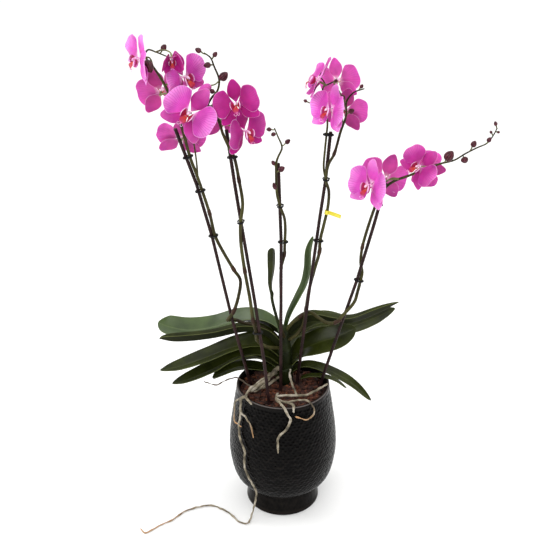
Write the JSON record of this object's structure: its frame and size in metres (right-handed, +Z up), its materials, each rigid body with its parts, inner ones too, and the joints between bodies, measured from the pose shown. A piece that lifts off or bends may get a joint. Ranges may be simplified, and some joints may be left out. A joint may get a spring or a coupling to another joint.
{
  "type": "potted orchid",
  "caption": "Moth orchid with tall staked flower spikes, strap leaves and trailing aerial roots in an egg-shaped dimpled ceramic pot on a foot ring.",
  "frame": {"origin": "centre of the pot's foot, on the surface it stands on", "axes": "+Z up along the pot's axis; -Y towards the viewer of the plant's front; +X to that viewer's right"},
  "size_m": [0.609, 0.2439, 0.8862],
  "materials": {
    "ceramic": "satin",
    "bark": "matte",
    "stem": "satin",
    "leaf": "satin",
    "stake": "satin",
    "clip": "satin",
    "petal": "matte",
    "root": "matte",
    "tag": "matte"
  },
  "bodies": {
    "root": {"pot": "ceramic", "stake_1": "stake", "stake_2": "stake", "stake_3": "stake", "stake_4": "stake", "stake_5": "stake", "clip_1_low": "clip", "clip_1_mid": "clip", "clip_1_high": "clip", "clip_2_low": "clip", "clip_2_mid": "clip", "clip_2_high": "clip", "clip_3_low": "clip", "clip_3_high": "clip", "clip_4_low": "clip", "clip_4_mid": "clip", "clip_4_high": "clip", "clip_5_low": "clip", "clip_5_high": "clip", "crown": "stem", "leaf_left_1": "leaf", "leaf_left_2": "leaf", "leaf_left_3": "leaf", "leaf_left_4": "leaf", "leaf_left_5": "leaf", "leaf_left_6": "leaf", "leaf_right_1": "leaf", "leaf_right_2": "leaf", "leaf_right_3": "leaf", "leaf_right_4": "leaf", "leaf_right_5": "leaf", "leaf_right_6": "leaf", "leaf_upright_1": "leaf", "leaf_upright_2": "leaf", "bloom_1a": "petal", "bloom_1b": "petal", "bloom_1c": "petal", "bloom_1d": "petal", "bloom_1e": "petal", "bloom_1f": "petal", "bloom_2a": "petal", "bloom_2b": "petal", "bloom_2c": "petal", "bloom_4a": "petal", "bloom_4b": "petal", "bloom_4c": "petal", "bloom_4d": "petal", "bloom_5a": "petal", "bloom_5b": "petal", "bloom_5c": "petal", "bloom_5d": "petal", "spike_1": "stem", "spike_2": "stem", "spike_3": "stem", "spike_4": "stem", "spike_5": "stem", "roots_left": "root", "roots_front": "root", "bark": "bark", "tag": "tag"}
  },
  "joints": []
}
